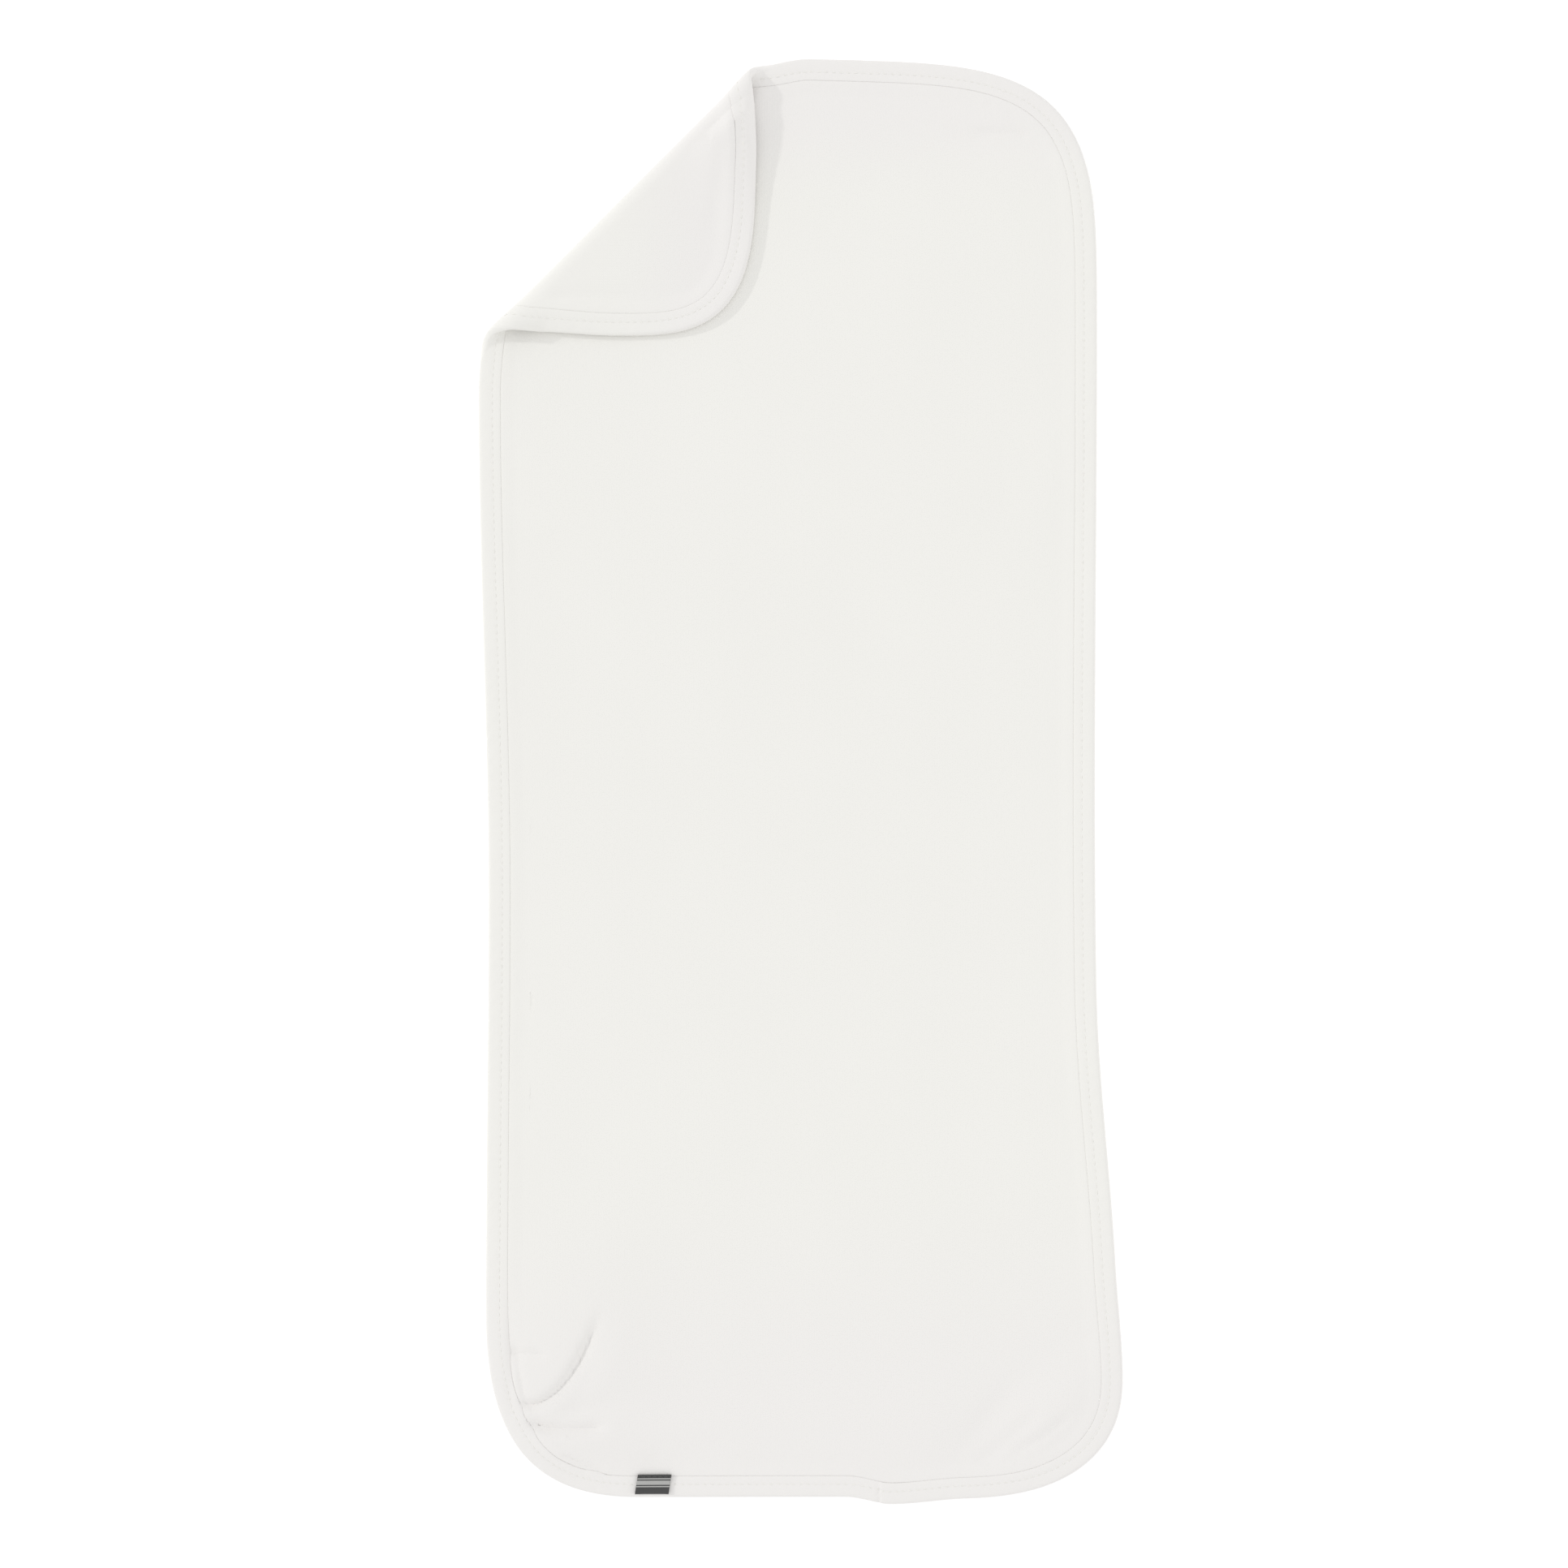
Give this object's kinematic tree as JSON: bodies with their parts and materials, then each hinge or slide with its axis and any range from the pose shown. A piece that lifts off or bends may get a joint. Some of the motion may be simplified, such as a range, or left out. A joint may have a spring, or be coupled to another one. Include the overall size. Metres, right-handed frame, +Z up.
{
  "type": "burp cloth",
  "caption": "Soft knitted rectangular burp cloth with round corners and a bound edge, lying flat with one corner folded over.",
  "frame": {"origin": "on the surface the cloth lies on, under the middle of its bounding box", "axes": "+X across the cloth to the right in the picture, +Y along it towards the folded end, +Z up"},
  "size_m": [0.2263, 0.5077, 0.0103],
  "materials": {
    "panel_knit": "smooth off-white cotton jersey",
    "binding_knit": "off-white ribbed jersey strip, topstitched",
    "label_weave": "dense charcoal woven tape"
  },
  "bodies": {
    "root": {"cloth_panel": "panel_knit", "edge_binding": "binding_knit", "label": "label_weave"}
  },
  "joints": []
}
